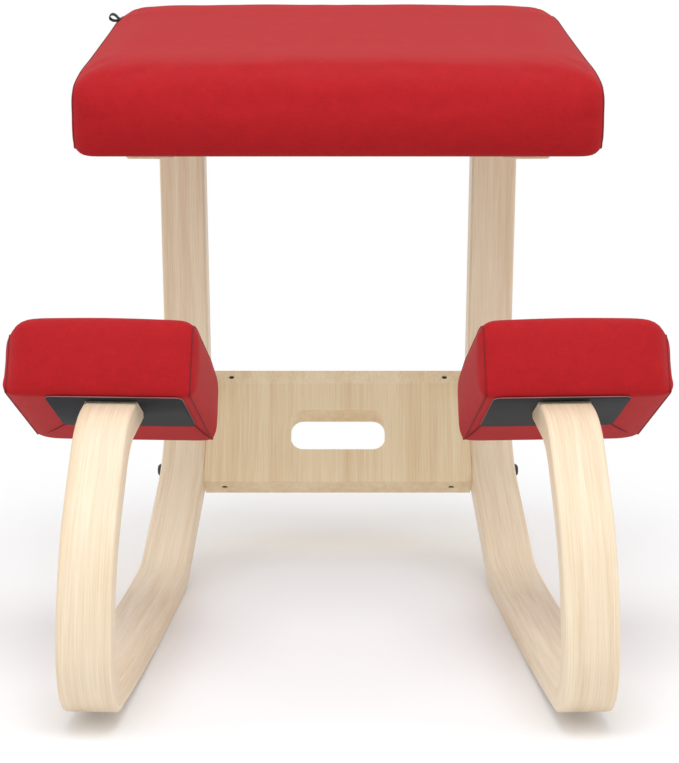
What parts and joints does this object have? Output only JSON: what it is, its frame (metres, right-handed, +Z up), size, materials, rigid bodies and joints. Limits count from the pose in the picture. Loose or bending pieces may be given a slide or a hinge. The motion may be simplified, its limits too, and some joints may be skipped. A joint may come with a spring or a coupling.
{
  "type": "kneeling chair",
  "caption": "Rocking kneeling chair: a wide forward-sloping red cushion and two tilted knee pads on bent wood runners, joined at the back by a board with a hand slot",
  "frame": {"origin": "on the floor, at the centre of the bounding box", "axes": "+Z up, -Y is the front where the knee pads are, X = 0 is the plane of symmetry midway between the runners"},
  "size_m": [0.528, 0.6668, 0.514],
  "materials": {
    "wood": "clear-lacquered pale laminated wood",
    "plywood": "bare plywood",
    "red_fabric": "red woven upholstery fabric",
    "dark_lining": "dark grey non-woven cloth",
    "foam": "cut polyurethane foam",
    "black_steel": "black-coated steel",
    "plated_steel": "zinc-plated steel",
    "dark_plastic": "dark brown plastic",
    "black_tag": "plain black woven tape"
  },
  "bodies": {
    "root": {"left_runner": "wood", "right_runner": "wood", "crossboard": "wood", "crossboard_bolts": "black_steel", "crossboard_barrel_nuts": "plated_steel", "crossboard_pins": "dark_plastic", "seat_board": "plywood", "seat_foam": "foam", "seat_cover": "red_fabric", "seat_lining": "dark_lining", "seat_tag": "black_tag", "seat_bolts": "black_steel", "seat_washers": "plated_steel", "seat_tee_nuts": "plated_steel", "left_knee_board": "plywood", "left_knee_foam": "foam", "left_knee_cover": "red_fabric", "left_knee_lining": "dark_lining", "left_knee_bolts": "black_steel", "left_knee_washers": "plated_steel", "left_knee_tee_nuts": "plated_steel", "right_knee_board": "plywood", "right_knee_foam": "foam", "right_knee_cover": "red_fabric", "right_knee_lining": "dark_lining", "right_knee_bolts": "black_steel", "right_knee_washers": "plated_steel", "right_knee_tee_nuts": "plated_steel"}
  },
  "joints": []
}
